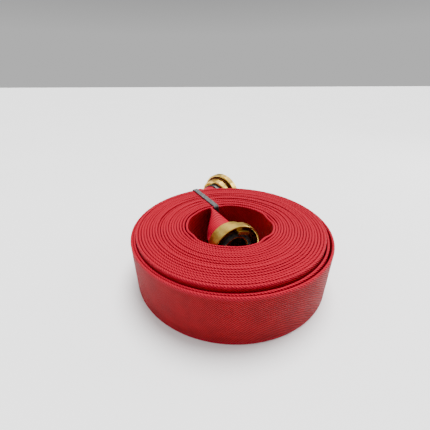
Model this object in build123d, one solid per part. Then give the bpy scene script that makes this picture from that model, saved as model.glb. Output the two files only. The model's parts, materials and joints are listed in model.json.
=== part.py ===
from build123d import *
from math import cos, radians, sin
import os

# A rolled lay-flat fire hose with a claw coupling on each end, millimetres, +Z up, standing on Z = 0.
# The roll's vertical axis is the working origin; everything is moved to the box centre at the end.

# Hose and roll
HOSE_WIDTH = 85.0          # flat width of a hose with a 52 mm bore
ROLL_R = 163.8             # outside of the outermost turn
MAIN_R = 155.5             # outside of the main coil, inside the two outermost turns
HOLE_R = 69.0              # inside of the innermost turn
COIL_TOP_FRONT = 94.6      # the main coil stands proud of the two outer turns at the front
COIL_TOP_BACK = 86.4
JACKET_R = 28.6            # outside of the hose where it is round, on its tailpiece
LINING_R = 27.1
LINING_BORE_R = 26.1
FLAT_HALF = 3.2            # half the thickness of the flat hose end

# Coupling, along its own axis: 0 is the front rim, the hose is on the negative side
RIM_R = 47.0
FLANGE_BACK = -14.0
RIM_BORE_R = 43.5
COLLAR_R = 39.0
COLLAR_FRONT = -19.0
COLLAR_BACK = -33.0
COLLAR_BORE_R = 35.5
FLOOR_Z = -12.0            # floor of the ring's front recess
WEB_BACK = -22.0
JOURNAL_R = 28.0
RUNNING_GAP = 0.05
FACE_GAP = 0.3
SEAT_R = 31.0
SEAT_BACK = -14.0
SEAT_FRONT = -9.0
SEAL_FRONT = -2.0
LIP_R = 24.5
LIP_FRONT = -4.0
BORE_R = 22.5              # waterway
TAIL_R = 25.0
BARB_R = 26.0
JOURNAL_BACK = -26.0
TAIL_BACK = -52.0
HOSE_FRONT = -27.0         # where the hose stops inside the collar
BARB_STARTS = (-30.0, -36.0, -42.0, -48.0)
BARB_LENGTH = 4.0
GRIP_SIDES = 18
GRIP_EASE = 0.4            # corner height that the grip flats leave beyond the turned radius
LUG_IN_R = 32.5
LUG_OUT_R = 38.5
LUG_FRONT = 3.5
LUG_ROOT_DEG = 15.0
LUG_ROOT_FRONT = -3.0
LUG_FINGER_DEG = 34.0
LUG_FINGER_BACK = -4.0
LUG_TURN_DEG = 146.0       # how far the ring is turned on its tailpiece
SLOT_DEG = 62.0
SLOT_FLOOR = -17.5
SPANNER_LUG = (8.0, 9.0, 9.0)
SPANNER_LUG_R = 42.0
SNAP_IN_R = 26.8
SNAP_OUT_R = 30.2
SNAP_FRONT = -22.3
SNAP_BACK = -24.3
WIRE_R = 1.0
WIRE_TURNS = 5
WIRE_FIRST = -31.5

# Where the couplings lie: front rim centre in plan, heading of the axis, rise of the axis
OUTER_AT = (-18.8, 224.5)
OUTER_HEADING = 53.5
OUTER_RISE = 3.0
INNER_AT = (12.7, -20.0)
INNER_HEADING = -58.6
INNER_RISE = 0.0
FLOOR_CLEAR = 0.05

# Where the flat hose leaves the roll, and the height of its middle
OUTER_LEAVES = (-74.1, 144.1)
INNER_LEAVES = (-38.5, 60.5)
FLAT_MID_Z = 43.0
# Share of the way from round to flat, half height, half thickness
END_SECTIONS = ((0.0, 28.6, 28.6), (0.22, 32.5, 23.0), (0.45, 36.8, 15.5), (0.7, 40.6, 8.2),
                (0.88, 42.2, 4.6), (1.0, 42.5, FLAT_HALF))

# Cable tie round the wound turns
TIE_RIM = (-80.0, 145.0)
TIE_HOLE = (-26.5, 63.0)
TIE_WIDTH = 9.5
TIE_THICK = 1.8
TIE_BOTTOM = 0.3
TIE_TOP = 88.4
TIE_CORNER_R = 5.0
TIE_HEAD = (10.0, 7.0, 9.0)
TIE_HEAD_Z = 24.0
TIE_GAP = 0.4


def turned(points):
    """A turned solid from (radius, axial) points."""
    outline = Polyline([(r, 0, z) for r, z in points], close=True)
    return revolve(make_face(outline), Axis.Z, 360)


def sector(in_r, out_r, low, high, start_deg, span_deg):
    """Part of a ring between two radii, two heights and two angles."""
    outline = Polyline([(in_r, 0, low), (out_r, 0, low), (out_r, 0, high), (in_r, 0, high)], close=True)
    return Rot(0, 0, start_deg) * revolve(make_face(outline), Axis.Z, span_deg)


def prism(radius, low, high):
    """Many-sided prism that turns a round ring into grip flats."""
    sides = RegularPolygon(radius=radius, side_count=GRIP_SIDES)
    return Pos(0, 0, low) * extrude(sides, amount=high - low)


def claw_ring():
    ring = turned([
        (46.0, 0), (RIM_R, -1), (RIM_R, FLANGE_BACK + 1), (46.0, FLANGE_BACK), (42.0, -17),
        (COLLAR_R, COLLAR_FRONT), (COLLAR_R, COLLAR_BACK + 1), (COLLAR_R - 1, COLLAR_BACK),
        (COLLAR_BORE_R, COLLAR_BACK), (COLLAR_BORE_R, WEB_BACK), (JOURNAL_R + RUNNING_GAP, WEB_BACK),
        (JOURNAL_R + RUNNING_GAP, SEAT_BACK - FACE_GAP), (SEAT_R + FACE_GAP, SEAT_BACK - FACE_GAP),
        (SEAT_R + FACE_GAP, FLOOR_Z), (RIM_BORE_R, FLOOR_Z), (RIM_BORE_R, -1), (RIM_BORE_R + 1, 0)])
    flats = prism(RIM_R + GRIP_EASE, FLANGE_BACK, 1) + prism(COLLAR_R + 3.5, -18, FLANGE_BACK)
    flats += prism(COLLAR_R + GRIP_EASE, COLLAR_BACK - 1, -18)
    ring = ring & flats
    for side in (LUG_TURN_DEG, LUG_TURN_DEG + 180):
        root = side + LUG_FINGER_DEG - LUG_ROOT_DEG
        ring += sector(LUG_IN_R, RIM_BORE_R + 1, FLOOR_Z - 1, LUG_ROOT_FRONT, root, LUG_ROOT_DEG)
        ring += sector(LUG_IN_R, LUG_OUT_R, FLOOR_Z - 1, LUG_FRONT, root, LUG_ROOT_DEG)
        ring += sector(LUG_IN_R, LUG_OUT_R, LUG_FINGER_BACK, LUG_FRONT, side, LUG_FINGER_DEG)
        ring -= sector(LUG_IN_R, LUG_OUT_R, SLOT_FLOOR, FLOOR_Z + 1, side + 62, SLOT_DEG)
        ring += Rot(0, 0, side - LUG_TURN_DEG + 90) * Pos(COLLAR_R, 0, COLLAR_BACK + 6) * Box(*SPANNER_LUG)
    return ring


def tailpiece():
    points = [(BORE_R, LIP_FRONT), (LIP_R, LIP_FRONT), (LIP_R, SEAT_FRONT), (SEAT_R, SEAT_FRONT),
              (SEAT_R, SEAT_BACK), (JOURNAL_R, SEAT_BACK), (JOURNAL_R, SNAP_FRONT),
              (SNAP_IN_R, SNAP_FRONT), (SNAP_IN_R, SNAP_BACK), (JOURNAL_R, SNAP_BACK),
              (JOURNAL_R, JOURNAL_BACK), (TAIL_R, JOURNAL_BACK)]
    for start in BARB_STARTS:
        points += [(TAIL_R, start), (BARB_R, start), (TAIL_R, start - BARB_LENGTH)]
    points.append((BORE_R, TAIL_BACK))
    return turned(points)


def face_seal():
    return turned([(LIP_R, SEAT_FRONT), (SEAT_R - 0.5, SEAT_FRONT), (SEAT_R - 0.5, SEAL_FRONT - 2),
                   (SEAT_R - 1.5, SEAL_FRONT), (LIP_R + 1, SEAL_FRONT), (LIP_R, LIP_FRONT)])


def snap_ring():
    ring = turned([(SNAP_IN_R, SNAP_FRONT), (SNAP_OUT_R, SNAP_FRONT), (SNAP_OUT_R, SNAP_BACK),
                   (SNAP_IN_R, SNAP_BACK)])
    return ring - Pos(SNAP_OUT_R, 0, SNAP_BACK) * Box(12, 4, 8)


def wire_binding():
    turns = []
    for turn in range(WIRE_TURNS):
        height = WIRE_FIRST - turn * (2 * WIRE_R + 0.1)
        turns.append(Pos(0, 0, height) * Torus(JACKET_R + WIRE_R + 0.05, WIRE_R))
    return Compound(children=turns)


def hose_lining():
    return turned([(LINING_BORE_R, HOSE_FRONT), (LINING_R, HOSE_FRONT), (LINING_R, TAIL_BACK),
                   (LINING_BORE_R, TAIL_BACK)])


def point_on(place, along):
    """A point of a coupling's axis."""
    return (place * Pos(0, 0, along)).position


def hose_end(place, leaves):
    """The jacket from inside the collar, round, to where it lies flat against the roll."""
    axis = point_on(place, 1) - point_on(place, 0)
    back = point_on(place, TAIL_BACK)
    run = Vector(leaves[0], leaves[1], FLAT_MID_Z) - back
    level = Vector(run.X, run.Y, 0).normalized()
    sections = [place * Pos(0, 0, HOSE_FRONT) * Circle(JACKET_R)]
    for share, half_height, half_thick in END_SECTIONS:
        normal = axis if share == 0 else level * -1
        across = normal.cross(Vector(0, 0, 1)).normalized()
        plane = Plane(origin=back + run * share, x_dir=across, z_dir=normal)
        sections.append(plane * Ellipse(half_thick, half_height))
    jacket = loft(sections, ruled=True)
    cavity = Pos(0, 0, TAIL_BACK - FACE_GAP) * Cylinder(
        LINING_R, HOSE_FRONT - TAIL_BACK + 1, align=(Align.CENTER, Align.CENTER, Align.MIN))
    return jacket - place * cavity


def tie_frame():
    """Plane through the tie: X from the hole to the rim, Y up."""
    hole = Vector(TIE_HOLE[0], TIE_HOLE[1], 0)
    rim = Vector(TIE_RIM[0], TIE_RIM[1], 0)
    along = (rim - hole).normalized()
    middle = (rim + hole) * 0.5 + Vector(0, 0, (TIE_BOTTOM + TIE_TOP) / 2)
    return Plane(origin=middle, x_dir=along, z_dir=along.cross(Vector(0, 0, 1))), (rim - hole).length


def tie_loop(grow, width):
    frame, length = tie_frame()
    height = TIE_TOP - TIE_BOTTOM
    outer = RectangleRounded(length + 2 * grow, height + 2 * grow, TIE_CORNER_R)
    inner = RectangleRounded(length - 2 * (TIE_THICK + grow), height - 2 * (TIE_THICK + grow),
                             TIE_CORNER_R - TIE_THICK)
    return frame * extrude(outer - inner, amount=width / 2, both=True)


def cable_tie():
    frame, length = tie_frame()
    head_z = TIE_HEAD_Z - (TIE_BOTTOM + TIE_TOP) / 2
    head = frame * Pos(length / 2 + TIE_HEAD[1] / 2 - TIE_THICK, head_z, 0)
    head *= Box(TIE_HEAD[1], TIE_HEAD[2], TIE_HEAD[0])
    return tie_loop(0, TIE_WIDTH) + head


def hose_roll():
    """Closed solid of all the wound turns, with the step to the outer turns and the tie's grooves."""
    slope = Plane(origin=(0, 0, (COIL_TOP_FRONT + COIL_TOP_BACK) / 2),
                  x_dir=(1, 0, 0), z_dir=(0, COIL_TOP_FRONT - COIL_TOP_BACK, 2 * MAIN_R))
    up = (Align.CENTER, Align.CENTER, Align.MIN)
    main = Cylinder(MAIN_R, COIL_TOP_FRONT + 5, align=up)
    main -= slope * Box(3 * ROLL_R, 3 * ROLL_R, 50, align=up)
    roll = main + Cylinder(ROLL_R, HOSE_WIDTH, align=up)
    roll -= Cylinder(HOLE_R, 3 * HOSE_WIDTH)
    return roll - tie_loop(TIE_GAP, TIE_WIDTH + 2 * TIE_GAP)


def place_coupling(at, heading_deg, rise_deg):
    """Local +Z becomes the coupling's axis, and its flange just clears the floor."""
    height = RIM_R * cos(radians(rise_deg)) - FLANGE_BACK * sin(radians(rise_deg)) + FLOOR_CLEAR
    return Pos(at[0], at[1], height) * Rot(0, 0, heading_deg) * Rot(0, 90 - rise_deg, 0)


nodes = {}
places = {"outer": place_coupling(OUTER_AT, OUTER_HEADING, OUTER_RISE),
          "inner": place_coupling(INNER_AT, INNER_HEADING, INNER_RISE)}
leaving = {"outer": OUTER_LEAVES, "inner": INNER_LEAVES}
pieces = {"claw_ring": claw_ring, "tailpiece": tailpiece, "face_seal": face_seal,
          "snap_ring": snap_ring, "wire_binding": wire_binding, "hose_lining": hose_lining}
nodes["hose_roll"] = hose_roll()
nodes["cable_tie"] = cable_tie()
for side, place in places.items():
    for name, make in pieces.items():
        nodes[f"{side}_{name}"] = place * make()
    nodes[f"hose_{side}_end"] = hose_end(place, leaving[side]) - tie_loop(TIE_GAP, TIE_WIDTH + 2 * TIE_GAP)

box = Compound(children=[Compound(node.wrapped) for node in nodes.values()]).bounding_box()
to_origin = Pos(-box.center().X, -box.center().Y, 0)
os.makedirs("parts", exist_ok=True)
for name, node in nodes.items():
    export_step(to_origin * node, f"parts/{name}.step")
print("box", box.min, box.max, "shift", to_origin.position)
for side, place in places.items():
    here = to_origin * place
    centre = point_on(here, 0)
    print(side, "front rim centre", centre, "axis", point_on(here, 1) - centre)
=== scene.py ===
import json
import random
from math import cos, exp, pi, radians, sin, sqrt

import bmesh
import bpy
from mathutils import Matrix, Vector


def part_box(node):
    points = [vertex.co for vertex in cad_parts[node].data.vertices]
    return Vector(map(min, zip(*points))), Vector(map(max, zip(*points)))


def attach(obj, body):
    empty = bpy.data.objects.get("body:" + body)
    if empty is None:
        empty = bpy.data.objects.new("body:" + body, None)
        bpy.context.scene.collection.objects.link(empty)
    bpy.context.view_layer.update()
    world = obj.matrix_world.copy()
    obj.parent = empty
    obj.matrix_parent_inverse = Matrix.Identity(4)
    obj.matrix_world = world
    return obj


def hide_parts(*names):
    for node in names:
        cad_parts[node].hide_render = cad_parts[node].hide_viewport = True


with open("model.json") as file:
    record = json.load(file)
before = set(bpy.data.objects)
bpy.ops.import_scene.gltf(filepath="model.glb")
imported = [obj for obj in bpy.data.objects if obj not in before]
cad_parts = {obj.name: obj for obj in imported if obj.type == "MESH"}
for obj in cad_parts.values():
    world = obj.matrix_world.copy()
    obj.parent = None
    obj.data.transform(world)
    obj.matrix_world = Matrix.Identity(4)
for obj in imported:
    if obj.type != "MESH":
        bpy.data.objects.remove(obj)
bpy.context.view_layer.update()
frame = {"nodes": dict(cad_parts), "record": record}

random.seed(52)
joints = {joint["name"]: joint for joint in frame["record"]["behaviour"]["joints"]}

# Where the roll and its couplings are, from the frame. Lengths are in metres
roll_low, roll_high = (Vector(corner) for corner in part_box("hose_roll"))
CENTRE = Vector(((roll_low.x + roll_high.x) / 2, (roll_low.y + roll_high.y) / 2, 0))
ROLL_R = (roll_high.x - roll_low.x) / 2
JOINT_BEHIND_RIM = 0.018   # from a coupling's front rim back to its joint
AXIS = {side: Vector(joints[f"{side}_ring_turn"]["axis"]) for side in ("outer", "inner")}
RIM = {side: Vector(joints[f"{side}_ring_turn"]["pos_m"]) + AXIS[side] * JOINT_BEHIND_RIM for side in AXIS}

# The hose: flat size, and round size on the tailpieces
HOSE_WIDTH = 0.085
HALF_THICK = 0.00198
ROUND_R = 0.0286
HOSE_BORE_R = 0.0271
# Where the two folded edges lie on the way round the hose's section
FOLD_AT = (pi * HALF_THICK / 2, pi * HALF_THICK * 1.5 + HOSE_WIDTH - 2 * HALF_THICK)

# Along a coupling's axis, from its front rim: the hose's mouth, its inner end wall, the end of its round part
MOUTH = -0.027
PLUG = -0.0532
ROUND_UNTIL = -0.0545
ROUND_STEPS = 7

# The wound turns: wound clockwise from the hole to the rim, as seen from above
TURNS = 21
HOLE_R = 0.0692
START_DEG = 116.0
SWEEP_DEG = 360.0 * TURNS - 1.0
STEP_DEG = 2.5
INNER_GAP = 0.0002         # between the hole and the first turn
OUTER_GAP = 0.0001         # between the last turn and the roll's radius
PROUD_FRONT = 0.0094       # how far the main coil is lifted at the front and at the back
PROUD_BACK = 0.0016
OUTER_TURNS = 1.75         # the turns outside the main coil, which rest on the floor
OUTER_LIFT = 0.0003
SETTLES_IN = 0.12          # the share of a turn in which the hose goes from one height to the other
LOWEST_LIFT = 0.0002
LOOSE_TURN = 11            # thinner there, and the turns inside it lie lower
LOOSE_THINNER = 0.00045
INNER_DROP = 0.0014
SLACK_DEG = -25            # the last turns bulge outwards round this direction
SLACK_WIDTH_DEG = 48
SLACK_DEPTH = 0.0040
SLACK_TURNS = 2.4          # from the rim inwards, grown in over SLACK_GROWS turns
SLACK_GROWS = 2.0
DENT_FADE = 1.1            # how fast the dents fade from turn to turn
# Dents of the innermost turns: direction in degrees, depth, half width in degrees
DENTS = ((-143, 0.0060, 9), (-40, 0.0062, 10), (150, 0.0035, 10), (18, 0.0050, 12), (-95, 0.0030, 14),
         (178, 0.0062, 34))

# Seeded unevenness: each turn's own height, and slow waves along the turns
TURN_SHIFT = 0.0011
HEIGHT_WAVE = 0.0008
RADIUS_WAVE = 0.00022
THICK_WAVE = 0.00016

# The tie: its line in plan from the hole to the rim, and the heights that it leaves for the hose
TIE_LINE = (Vector((-0.0265, 0.063, 0)) + CENTRE, Vector((-0.080, 0.145, 0)) + CENTRE)
TIE_HALF_WIDTH = 0.005
TIE_PAST_ENDS = 0.006
TIE_REACH = 0.014
TIE_UNDER = 0.0863
TIE_OVER = 0.0024

# The sharp corner where the innermost turn leaves the roll for the inner coupling, and curve handle lengths
INNER_CORNER = (-0.0352, 0.0566)
LEAVE_HANDLE = 0.014
MEET_HANDLE = 0.012
CORNER_HANDLE = 0.0052
LEAVE_STEPS = 14
CORNER_STEPS = 9
OUTER_STEPS = 18
FLAT_BY = {"inner": 0.62, "outer": 0.95}   # share of the curve by which the hose is flat
WIDENS_FASTER = 1.05
ARC_STEPS = 6              # of each folded edge in the hose's section
SIDE_STEPS = 8             # of each flat side

# Painted highlight on the red jacket's folded edges, by distance from a folded edge: where it ends and where
# it is full
FOLD_HIGHLIGHT_END = 0.0085
FOLD_HIGHLIGHT_FULL = 0.0018

# Painted shade in a coupling's recess. Each pair says where there is none and where it is full,
# as a distance along the axis from the front rim, or as a radius
WALL_DEPTH = (-0.002, -0.005)
WALL_RADIUS = (0.0390, 0.0396)
FLOOR_DEPTH = (-0.0110, -0.0117)
RECESS_RADIUS = (0.0442, 0.0438)
RECESS_END = (-0.0185, -0.0180)

# The camera, fitted to the photo
CAMERA_RISE_DEG = 35.65
CAMERA_DISTANCE = 0.46445
PAN_DEG, TILT_DEG, ROLL_DEG = 3.394, -6.597, 1.84
TARGET_HEIGHT = 0.0425
FOCAL_SHARE = 260 / 430    # focal length as a share of the picture's width
SENSOR_MM = 36.0
FLOOR_REACH = 6.0


def smooth(value):
    """Goes from 0 to 1 with a gentle start and end, as the value goes from 0 to 1."""
    value = min(1.0, max(0.0, value))
    return value * value * (3 - 2 * value)


def bezier(points, count):
    """Points of a cubic curve without its first one."""
    out = []
    for step in range(1, count + 1):
        t = step / count
        weights = ((1 - t) ** 3, 3 * t * (1 - t) ** 2, 3 * t * t * (1 - t), t ** 3)
        out.append(sum((p * w for p, w in zip(points, weights)), Vector((0, 0, 0))))
    return out


def tie_nearness(point):
    """1 under the tie, 0 away from it."""
    a, b = TIE_LINE
    along = (b - a).normalized()
    off = Vector((point.x, point.y, 0)) - a
    run = off.dot(along)
    if run < -TIE_PAST_ENDS or run > (b - a).length + TIE_PAST_ENDS:
        return 0.0
    return 1 - smooth((abs(off.cross(along).z) - TIE_HALF_WIDTH) / TIE_REACH)


def degrees_off(degrees, direction):
    """The signed angle from a direction, between -180 and 180."""
    return (degrees - direction + 180) % 360 - 180


class Wave:
    """A slow seeded wobble along a turn."""

    def __init__(self, size):
        self.parts = []
        for n in (1, 2, 3, 5):
            height = random.uniform(0.3, 1) * size / n
            self.parts.append((height, n, random.uniform(0, 2 * pi)))

    def at(self, angle):
        return sum(a * sin(n * angle + phase) for a, n, phase in self.parts)


turn_height = [random.uniform(-TURN_SHIFT, TURN_SHIFT) for _ in range(TURNS + 2)]
height_waves = [Wave(HEIGHT_WAVE) for _ in range(TURNS + 2)]
radius_waves = [Wave(RADIUS_WAVE) for _ in range(TURNS + 2)]
thick_waves = [Wave(THICK_WAVE) for _ in range(TURNS + 2)]


def mixed(values, turn, angle):
    """The wobble at a place along the hose, between those of the two nearest turns."""
    low = int(turn)
    share = turn - low
    return values[low].at(angle) * (1 - share) + values[low + 1].at(angle) * share


def turn_radius(turn, degrees, start_r, pitch):
    """Distance of the hose's middle from the roll's axis."""
    radius = start_r + pitch * turn
    away_from_ends = smooth(turn * 6) * smooth((TURNS - turn) * 4)
    radius += mixed(radius_waves, turn, radians(degrees)) * away_from_ends
    slack = exp(-(degrees_off(degrees, SLACK_DEG) / SLACK_WIDTH_DEG) ** 2)
    radius += SLACK_DEPTH * slack * smooth((turn - TURNS + SLACK_TURNS) / SLACK_GROWS)
    for direction, depth, width in DENTS:
        off = degrees_off(degrees, direction)
        radius -= depth * exp(-(off / width) ** 2) * exp(-turn * DENT_FADE) * smooth(turn * 8)
    return radius


def turn_lift(turn, angle):
    """Height of the hose's lower edge above the floor."""
    forward = (1 - sin(angle)) / 2
    lift = PROUD_BACK + (PROUD_FRONT - PROUD_BACK) * forward
    inside = 1 - smooth((turn - LOOSE_TURN + 0.2) / 0.4)
    lift -= INNER_DROP * inside * (0.4 + 0.6 * forward)
    lift += mixed(height_waves, turn, angle)
    lift += turn_height[int(turn)] * (1 - turn % 1) + turn_height[int(turn) + 1] * (turn % 1)
    settled = smooth((turn - (TURNS - OUTER_TURNS)) / SETTLES_IN)
    return max(LOWEST_LIFT, lift * (1 - settled) + settled * OUTER_LIFT)


def spiral():
    """(point, lift, half thickness) along the wound turns, from the hole to the rim."""
    out = []
    steps = int(SWEEP_DEG / STEP_DEG)
    start_r = HOLE_R + HALF_THICK + INNER_GAP
    pitch = (ROLL_R - HALF_THICK - OUTER_GAP - start_r) * 360 / SWEEP_DEG
    for step in range(steps + 1):
        swept = SWEEP_DEG * step / steps
        turn = swept / 360
        degrees = START_DEG - swept
        angle = radians(degrees)
        half = HALF_THICK - abs(mixed(thick_waves, turn, angle))
        if abs(turn - LOOSE_TURN) < 0.5:
            half -= LOOSE_THINNER * (1 - 2 * abs(turn - LOOSE_TURN))
        radius = turn_radius(turn, degrees, start_r, pitch)
        point = CENTRE + Vector((cos(angle), sin(angle), 0)) * radius
        out.append((point, turn_lift(turn, angle), half))
    return out


def end_run(side, meet, heading):
    """Stations from a coupling's mouth to the roll. heading is the way the hose runs on into the turns."""
    axis = AXIS[side]
    run = []
    for step in range(ROUND_STEPS + 1):
        along = MOUTH + (ROUND_UNTIL - MOUTH) * step / ROUND_STEPS
        run.append((RIM[side] + axis * along, ROUND_R, ROUND_R))
    start = run[-1][0]
    if side == "inner":
        corner = CENTRE + Vector((*INNER_CORNER, meet.z))
        curve = bezier([start, start - axis * LEAVE_HANDLE, corner + axis * MEET_HANDLE, corner], LEAVE_STEPS)
        turn_in = [corner, corner - axis * CORNER_HANDLE, meet - heading * CORNER_HANDLE, meet]
        curve += bezier(turn_in, CORNER_STEPS)
    else:
        curve = bezier([start, start - axis * LEAVE_HANDLE, meet - heading * MEET_HANDLE, meet], OUTER_STEPS)
    for index, point in enumerate(curve):
        share = (index + 1) / len(curve) / FLAT_BY[side]
        half = ROUND_R + (HALF_THICK - ROUND_R) * smooth(share)
        tall = ROUND_R + (HOSE_WIDTH / 2 - ROUND_R) * smooth(share * WIDENS_FASTER)
        run.append((point, tall, half))
    return run


def hose_path():
    """Stations (middle point, half height, half thickness) from the inner coupling to the outer one."""
    wound = spiral()
    middles = []
    for point, lift, half in wound:
        near = tie_nearness(point)
        low = lift + (max(lift, TIE_OVER) - lift) * near
        high = lift + HOSE_WIDTH
        high += (min(high, TIE_UNDER) - high) * near
        middles.append((Vector((point.x, point.y, (low + high) / 2)), (high - low) / 2, half))
    into_first = (wound[1][0] - wound[0][0]).normalized()
    into_last = (wound[-2][0] - wound[-1][0]).normalized()
    first_end = end_run("inner", middles[0][0], into_first)
    last_end = end_run("outer", middles[-1][0], into_last)
    return first_end[:-1] + middles + last_end[-2::-1]


def section(tall, half):
    """Rounded flat section, counter-clockwise, as (across, up)."""
    edge = min(half, tall)
    straight = tall - edge
    points = []
    for side in (1, -1):
        for step in range(ARC_STEPS + 1):
            angle = pi * step / ARC_STEPS
            points.append((side * edge * cos(angle), side * (straight + edge * sin(angle))))
        for step in range(1, SIDE_STEPS):
            points.append((-side * edge, side * (straight - 2 * straight * step / SIDE_STEPS)))
    return points


def hose_rings(stations):
    """One ring of points for each station, each with its distance along the hose."""
    rings = []
    length = 0.0
    last = len(stations) - 1
    for index, (point, tall, half) in enumerate(stations):
        before = stations[max(0, index - 1)][0]
        after = stations[min(last, index + 1)][0]
        if index:
            length += (point - before).length
        heading = after - before
        heading.z = 0
        heading.normalize()
        across = Vector((heading.y, -heading.x, 0))
        rings.append(([point + across * u + Vector((0, 0, v)) for u, v in section(tall, half)], length))
    return rings, length


def mouth_rings(side, ring, distance):
    """The inside of a mouth, from its deep end to its rim."""
    mouth = RIM[side] + AXIS[side] * MOUTH
    inside = [mouth + (point - mouth) * (HOSE_BORE_R / ROUND_R) for point in ring]
    deep = [point + AXIS[side] * (PLUG - MOUTH) for point in inside]
    return [(deep, distance), (inside, distance)]


def tube_faces(ring_count, size):
    """Quads between the rings, and a flat cap on each end."""
    faces = []
    for index in range(ring_count - 1):
        near, far = index * size, (index + 1) * size
        for corner in range(size):
            right = (corner + 1) % size
            faces.append((near + corner, near + right, far + right, far + corner))
    faces.append(tuple(reversed(range(size))))
    faces.append(tuple((ring_count - 1) * size + corner for corner in range(size)))
    return faces


def lay_cloth_uv(mesh, rings, size):
    """Real-size UVs in metres: along the hose, and round its flat section."""
    flat = section(HOSE_WIDTH / 2, HALF_THICK)
    around = [0.0]
    for step in range(size):
        here, there = flat[step], flat[(step + 1) % size]
        around.append(around[-1] + sqrt((here[0] - there[0]) ** 2 + (here[1] - there[1]) ** 2))
    layer = mesh.uv_layers.new(name="cloth")
    for face in mesh.polygons:
        corners = [(mesh.loops[i].vertex_index, i) for i in face.loop_indices]
        wraps = {vertex % size for vertex, _ in corners} == {0, size - 1}
        for vertex, loop in corners:
            place = size if wraps and vertex % size == 0 else vertex % size
            layer.data[loop].uv = (rings[vertex // size][1], around[place])


def build_hose():
    """The whole hose as one closed mesh, and its length."""
    rings, length = hose_rings(hose_path())
    inner_mouth = mouth_rings("inner", rings[0][0], 0.0)
    outer_mouth = mouth_rings("outer", rings[-1][0], length)
    rings = inner_mouth + rings + outer_mouth[::-1]
    size = len(rings[0][0])
    mesh = bpy.data.meshes.new("hose")
    mesh.from_pydata([point for ring, _ in rings for point in ring], [], tube_faces(len(rings), size))
    lay_cloth_uv(mesh, rings, size)
    mesh.shade_smooth()
    hose = bpy.data.objects.new("hose", mesh)
    bpy.context.scene.collection.objects.link(hose)
    work = bmesh.new()
    work.from_mesh(mesh)
    bmesh.ops.recalc_face_normals(work, faces=work.faces)
    work.to_mesh(mesh)
    work.free()
    return hose, length


def line_mouths(hose):
    """The inside of both mouths is the black rubber lining, the second material."""
    past_ends, past_bore = 0.002, 0.0004
    for side, axis in AXIS.items():
        for face in hose.data.polygons:
            off = face.center - RIM[side]
            along = off.dot(axis)
            aside = (off - axis * along).length
            if PLUG - past_ends < along < MOUTH + past_ends and aside < HOSE_BORE_R + past_bore:
                face.material_index = 1


class Material:
    """Short helper for node materials."""

    def __init__(self, name):
        self.material = bpy.data.materials.new(name)
        self.material.use_nodes = True
        self.tree = self.material.node_tree
        self.shader = self.tree.nodes["Principled BSDF"]

    def node(self, kind, **settings):
        made = self.tree.nodes.new(kind)
        for key, value in settings.items():
            if key.startswith("in_"):
                made.inputs[key[3:].replace("_", " ")].default_value = value
            else:
                setattr(made, key, value)
        return made

    def link(self, source, out, target, into):
        self.tree.links.new(source.outputs[out], target.inputs[into])

    def ramp(self, source, out, stops):
        ramp = self.node("ShaderNodeValToRGB")
        ramp.color_ramp.elements[0].position = stops[0][0]
        ramp.color_ramp.elements[0].color = (*stops[0][1], 1)
        ramp.color_ramp.elements[1].position = stops[-1][0]
        ramp.color_ramp.elements[1].color = (*stops[-1][1], 1)
        for position, colour in stops[1:-1]:
            ramp.color_ramp.elements.new(position).color = (*colour, 1)
        self.link(source, out, ramp, "Fac")
        return ramp

    def between(self, source, out, none_at, full_at, kind="LINEAR"):
        """0 up to one value of the source and 1 from another."""
        mask = self.node("ShaderNodeMapRange", interpolation_type=kind)
        mask.inputs["From Min"].default_value = none_at
        mask.inputs["From Max"].default_value = full_at
        self.link(source, out, mask, "Value")
        return mask

    def joined(self, operation, first, second):
        """One math node on the first outputs of two others."""
        made = self.node("ShaderNodeMath", operation=operation)
        self.link(first, 0, made, 0)
        self.link(second, 0, made, 1)
        return made

    def set(self, **values):
        for key, value in values.items():
            self.shader.inputs[key.replace("_", " ")].default_value = value


def fold_highlight_mask(m, uv):
    """Mask of the painted highlight: 1 on the two folded edges of the hose, 0 away from them."""
    parts = m.node("ShaderNodeSeparateXYZ")
    m.link(uv, "UV", parts, "Vector")
    masks = []
    for fold in FOLD_AT:
        away = m.node("ShaderNodeMath", operation="SUBTRACT")
        m.link(parts, "Y", away, 0)
        away.inputs[1].default_value = fold
        distance = m.node("ShaderNodeMath", operation="ABSOLUTE")
        m.link(away, 0, distance, 0)
        masks.append(m.between(distance, 0, FOLD_HIGHLIGHT_END, FOLD_HIGHLIGHT_FULL, "SMOOTHSTEP"))
    return m.joined("MAXIMUM", *masks)


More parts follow.
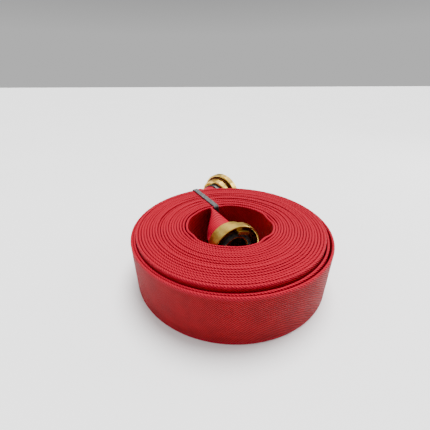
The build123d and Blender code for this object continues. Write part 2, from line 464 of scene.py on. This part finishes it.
def twill():
    """Red woven jacket: steep diagonal ribs, fine crosswise yarns, uneven dye, and a painted highlight that
    lightens the folded edges.
    """
    m = Material("red_twill")
    uv = m.node("ShaderNodeTexCoord")
    turn = m.node("ShaderNodeMapping")
    turn.inputs["Rotation"].default_value = (0, 0, radians(-52))
    m.link(uv, "UV", turn, "Vector")
    ribs = m.node("ShaderNodeTexWave", in_Scale=120.0, in_Distortion=0.5, in_Detail=2.0)
    m.link(turn, "Vector", ribs, "Vector")
    yarn = m.node("ShaderNodeTexWave", in_Scale=310.0, in_Distortion=0.8, in_Detail=1.0)
    m.link(uv, "UV", yarn, "Vector")
    dye = m.node("ShaderNodeTexNoise", in_Scale=45.0, in_Detail=6.0)
    m.link(uv, "Object", dye, "Vector")
    shade = m.ramp(ribs, "Fac", ((0.0, (0.090, 0.0002, 0.0015)), (0.4, (0.26, 0.0003, 0.005)),
                                 (1.0, (0.42, 0.0006, 0.009))))
    uneven = m.ramp(dye, "Fac", ((0.3, (0.72, 0.70, 0.70)), (0.7, (1.0, 1.0, 1.0))))
    mix = m.node("ShaderNodeMix", data_type="RGBA", blend_type="MULTIPLY")
    mix.inputs["Factor"].default_value = 1.0
    m.tree.links.new(shade.outputs["Color"], mix.inputs[6])
    m.tree.links.new(uneven.outputs["Color"], mix.inputs[7])
    # Painted highlight: the folded edges get a lighter red, which stands in for the light that the upturned
    # folds catch.
    lit_folds = fold_highlight_mask(m, uv)
    fade = m.node("ShaderNodeMix", data_type="RGBA")
    m.tree.links.new(lit_folds.outputs[0], fade.inputs["Factor"])
    m.tree.links.new(mix.outputs[2], fade.inputs[6])
    fold_highlight_colour = m.ramp(ribs, "Fac", ((0.0, (0.26, 0.001, 0.011)), (1.0, (0.47, 0.004, 0.026))))
    m.tree.links.new(fold_highlight_colour.outputs["Color"], fade.inputs[7])
    m.tree.links.new(fade.outputs[2], m.shader.inputs["Base Color"])
    first = m.node("ShaderNodeBump", in_Strength=0.9, in_Distance=0.0007)
    m.link(ribs, "Fac", first, "Height")
    second = m.node("ShaderNodeBump", in_Strength=0.2, in_Distance=0.0001)
    m.link(yarn, "Fac", second, "Height")
    m.link(first, "Normal", second, "Normal")
    m.link(second, "Normal", m.shader, "Normal")
    m.set(Roughness=0.6, Sheen_Weight=0.03, Sheen_Roughness=0.35, Specular_IOR_Level=0.10)
    m.shader.inputs["Sheen Tint"].default_value = (1.0, 0.35, 0.40, 1)
    return m.material


def recess(m, place, side):
    """Mask of the painted shade: 1 on the walls and the floor of a coupling's front recess, 0 elsewhere."""
    off = m.node("ShaderNodeVectorMath", operation="SUBTRACT")
    m.link(place, "Object", off, 0)
    off.inputs[1].default_value = RIM[side]
    along = m.node("ShaderNodeVectorMath", operation="DOT_PRODUCT")
    m.link(off, "Vector", along, 0)
    along.inputs[1].default_value = AXIS[side]
    cross = m.node("ShaderNodeVectorMath", operation="CROSS_PRODUCT")
    m.link(off, "Vector", cross, 0)
    cross.inputs[1].default_value = AXIS[side]
    radial = m.node("ShaderNodeVectorMath", operation="LENGTH")
    m.link(cross, "Vector", radial, 0)
    wall = m.between(along, "Value", *WALL_DEPTH)
    wall = m.joined("MULTIPLY", wall, m.between(radial, "Value", *WALL_RADIUS))
    recess_shade_mask = m.joined("MAXIMUM", wall, m.between(along, "Value", *FLOOR_DEPTH))
    recess_shade_mask = m.joined("MULTIPLY", recess_shade_mask, m.between(radial, "Value", *RECESS_RADIUS))
    return m.joined("MULTIPLY", recess_shade_mask, m.between(along, "Value", *RECESS_END))


def brass(side):
    """Brass with an uneven tone and a fine pitted grain, and painted shade that darkens the coupling's front
    recess.
    """
    m = Material(f"{side}_brass")
    place = m.node("ShaderNodeTexCoord")
    cloud = m.node("ShaderNodeTexNoise", in_Scale=55.0, in_Detail=8.0, in_Roughness=0.6)
    m.link(place, "Object", cloud, "Vector")
    tone = m.ramp(cloud, "Fac", ((0.30, (0.42, 0.22, 0.03)), (0.5, (0.76, 0.50, 0.10)),
                                 (0.75, (0.88, 0.66, 0.18))))
    recess_shade_mask = recess(m, place, side)
    # Painted shade: the recess walls and floor turn dark red-brown in place of the shade that falls inside
    # the coupling's hollow.
    painted_recess_shade = m.node("ShaderNodeMix", data_type="RGBA")
    m.tree.links.new(recess_shade_mask.outputs[0], painted_recess_shade.inputs["Factor"])
    m.tree.links.new(tone.outputs["Color"], painted_recess_shade.inputs[6])
    painted_recess_shade.inputs[7].default_value = (0.10, 0.030, 0.010, 1)
    m.tree.links.new(painted_recess_shade.outputs[2], m.shader.inputs["Base Color"])
    rough = m.ramp(cloud, "Fac", ((0.3, (0.42, 0.42, 0.42)), (0.7, (0.22, 0.22, 0.22))))
    m.link(rough, "Color", m.shader, "Roughness")
    grain = m.node("ShaderNodeTexNoise", in_Scale=900.0, in_Detail=4.0)
    m.link(place, "Object", grain, "Vector")
    pits = m.node("ShaderNodeBump", in_Strength=0.35, in_Distance=0.00015)
    m.link(grain, "Fac", pits, "Height")
    waves = m.node("ShaderNodeBump", in_Strength=0.5, in_Distance=0.0006)
    m.link(cloud, "Fac", waves, "Height")
    m.link(pits, "Normal", waves, "Normal")
    m.link(waves, "Normal", m.shader, "Normal")
    m.set(Metallic=1.0)
    return m.material


def ribbed_plastic():
    """Black nylon of the tie, with its row of teeth."""
    m = Material("tie_plastic")
    place = m.node("ShaderNodeTexCoord")
    teeth = m.node("ShaderNodeTexWave", in_Scale=260.0, in_Distortion=0.0)
    turn = m.node("ShaderNodeMapping")
    turn.inputs["Rotation"].default_value = (0, 0, radians(57))
    m.link(place, "Object", turn, "Vector")
    m.link(turn, "Vector", teeth, "Vector")
    cloud = m.node("ShaderNodeTexNoise", in_Scale=180.0, in_Detail=5.0)
    m.link(place, "Object", cloud, "Vector")
    tone = m.ramp(cloud, "Fac", ((0.3, (0.012, 0.012, 0.012)), (0.7, (0.034, 0.035, 0.033))))
    m.link(tone, "Color", m.shader, "Base Color")
    bump = m.node("ShaderNodeBump", in_Strength=0.6, in_Distance=0.0004)
    m.link(teeth, "Fac", bump, "Height")
    m.link(bump, "Normal", m.shader, "Normal")
    m.set(Roughness=0.42)
    return m.material


def rubber():
    """Dusty black rubber of the face seals and the linings."""
    m = Material("black_rubber")
    place = m.node("ShaderNodeTexCoord")
    dust = m.node("ShaderNodeTexNoise", in_Scale=300.0, in_Detail=6.0)
    m.link(place, "Object", dust, "Vector")
    tone = m.ramp(dust, "Fac", ((0.35, (0.012, 0.012, 0.012)), (0.75, (0.045, 0.044, 0.042))))
    m.link(tone, "Color", m.shader, "Base Color")
    bump = m.node("ShaderNodeBump", in_Strength=0.3, in_Distance=0.0002)
    m.link(dust, "Fac", bump, "Height")
    m.link(bump, "Normal", m.shader, "Normal")
    m.set(Roughness=0.7)
    return m.material


def steel():
    """Dark drawn steel of the snap rings and the wire bindings."""
    m = Material("drawn_steel")
    place = m.node("ShaderNodeTexCoord")
    cloud = m.node("ShaderNodeTexNoise", in_Scale=400.0, in_Detail=5.0)
    m.link(place, "Object", cloud, "Vector")
    tone = m.ramp(cloud, "Fac", ((0.3, (0.06, 0.055, 0.05)), (0.7, (0.16, 0.155, 0.15))))
    m.link(tone, "Color", m.shader, "Base Color")
    m.set(Metallic=1.0, Roughness=0.35)
    return m.material


def paper_floor():
    """Near-white ground."""
    m = Material("pale_floor")
    place = m.node("ShaderNodeTexCoord")
    cloud = m.node("ShaderNodeTexNoise", in_Scale=3.0)
    m.link(place, "Object", cloud, "Vector")
    tone = m.ramp(cloud, "Fac", ((0.3, (0.93, 0.93, 0.93)), (0.7, (0.95, 0.95, 0.95))))
    m.link(tone, "Color", m.shader, "Base Color")
    m.set(Roughness=0.8)
    return m.material


def dress_cad():
    """Gives the CAD pieces that stay visible their materials."""
    metal = {side: brass(side) for side in AXIS}
    finishes = {"face_seal": rubber(), "hose_lining": rubber(),
                "snap_ring": steel(), "wire_binding": steel(), "cable_tie": ribbed_plastic()}
    for name, node in frame["nodes"].items():
        if name.endswith(("claw_ring", "tailpiece")):
            node.data.materials.clear()
            node.data.materials.append(metal[name.split("_")[0]])
        for ending, finish in finishes.items():
            if name.endswith(ending):
                node.data.materials.clear()
                node.data.materials.append(finish)


def stage():
    """The pale floor, and a sky that is bright above and darker towards the horizon."""
    mesh = bpy.data.meshes.new("floor")
    corners = [(x * FLOOR_REACH, y * FLOOR_REACH, 0) for x, y in ((-1, -1), (1, -1), (1, 1), (-1, 1))]
    mesh.from_pydata(corners, [], [(0, 1, 2, 3)])
    floor = bpy.data.objects.new("floor", mesh)
    bpy.context.scene.collection.objects.link(floor)
    mesh.materials.append(paper_floor())
    world = bpy.data.worlds.new("studio")
    bpy.context.scene.world = world
    world.use_nodes = True
    tree = world.node_tree
    background = tree.nodes["Background"]
    background.inputs["Strength"].default_value = 1.0
    place = tree.nodes.new("ShaderNodeTexCoord")
    parts = tree.nodes.new("ShaderNodeSeparateXYZ")
    ramp = tree.nodes.new("ShaderNodeValToRGB")
    tree.links.new(place.outputs["Generated"], parts.inputs["Vector"])
    tree.links.new(parts.outputs["Z"], ramp.inputs["Fac"])
    tree.links.new(ramp.outputs["Color"], background.inputs["Color"])
    ramp.color_ramp.elements[0].position = 0.10
    ramp.color_ramp.elements[0].color = (0.55, 0.55, 0.55, 1)
    ramp.color_ramp.elements[1].position = 0.85
    ramp.color_ramp.elements[1].color = (1.0, 1.0, 1.0, 1)
    ramp.color_ramp.elements.new(0.30).color = (0.24, 0.24, 0.24, 1)


def lamp(name, at, size, power):
    """A square lamp that faces the middle of the roll."""
    data = bpy.data.lights.new(name, "AREA")
    data.size = size
    data.energy = power
    light = bpy.data.objects.new(name, data)
    light.location = at
    light.rotation_euler = (CENTRE - Vector(at)).to_track_quat("-Z", "Y").to_euler()
    bpy.context.scene.collection.objects.link(light)


def sun(name, toward, power, width_deg):
    """A broad soft light from one direction, so that the whole floor is evenly bright."""
    data = bpy.data.lights.new(name, "SUN")
    data.energy = power
    data.angle = radians(width_deg)
    light = bpy.data.objects.new(name, data)
    light.rotation_euler = Vector(toward).to_track_quat("Z", "Y").to_euler()
    bpy.context.scene.collection.objects.link(light)


def camera():
    """Stands in front of the roll, above it, and is turned slightly off the roll's middle."""
    rise = radians(CAMERA_RISE_DEG)
    pan, tilt, roll = radians(PAN_DEG), radians(TILT_DEG), radians(ROLL_DEG)
    target = CENTRE + Vector((0, 0, TARGET_HEIGHT))
    back = Vector((0, -cos(rise), sin(rise)))
    right = Vector((1, 0, 0))
    up = back.cross(right)
    right2 = right * cos(pan) - back * sin(pan)
    back2 = back * cos(pan) + right * sin(pan)
    up2 = up * cos(tilt) - back2 * sin(tilt)
    back3 = back2 * cos(tilt) + up * sin(tilt)
    right3 = right2 * cos(roll) + up2 * sin(roll)
    up3 = up2 * cos(roll) - right2 * sin(roll)
    data = bpy.data.cameras.new("camera")
    data.sensor_width = SENSOR_MM
    data.lens = SENSOR_MM * FOCAL_SHARE
    made = bpy.data.objects.new("camera", data)
    matrix = Matrix((right3, up3, back3)).transposed().to_4x4()
    matrix.translation = target + back * CAMERA_DISTANCE
    made.matrix_world = matrix
    bpy.context.scene.collection.objects.link(made)
    bpy.context.scene.camera = made


hose, hose_length = build_hose()
hose.data.materials.append(twill())
hose.data.materials.append(rubber())
line_mouths(hose)
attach(hose, "root")
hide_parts("hose_roll", "hose_outer_end", "hose_inner_end")
print("hose length", round(hose_length, 3))

dress_cad()
stage()
sun("sky_panel", toward=(0.12, 0.30, 1.0), power=6.5, width_deg=30)
lamp("fill", at=(-1.3, -0.6, 0.7), size=0.8, power=3)
lamp("side", at=(1.1, 0.4, 0.7), size=0.6, power=5)
camera()
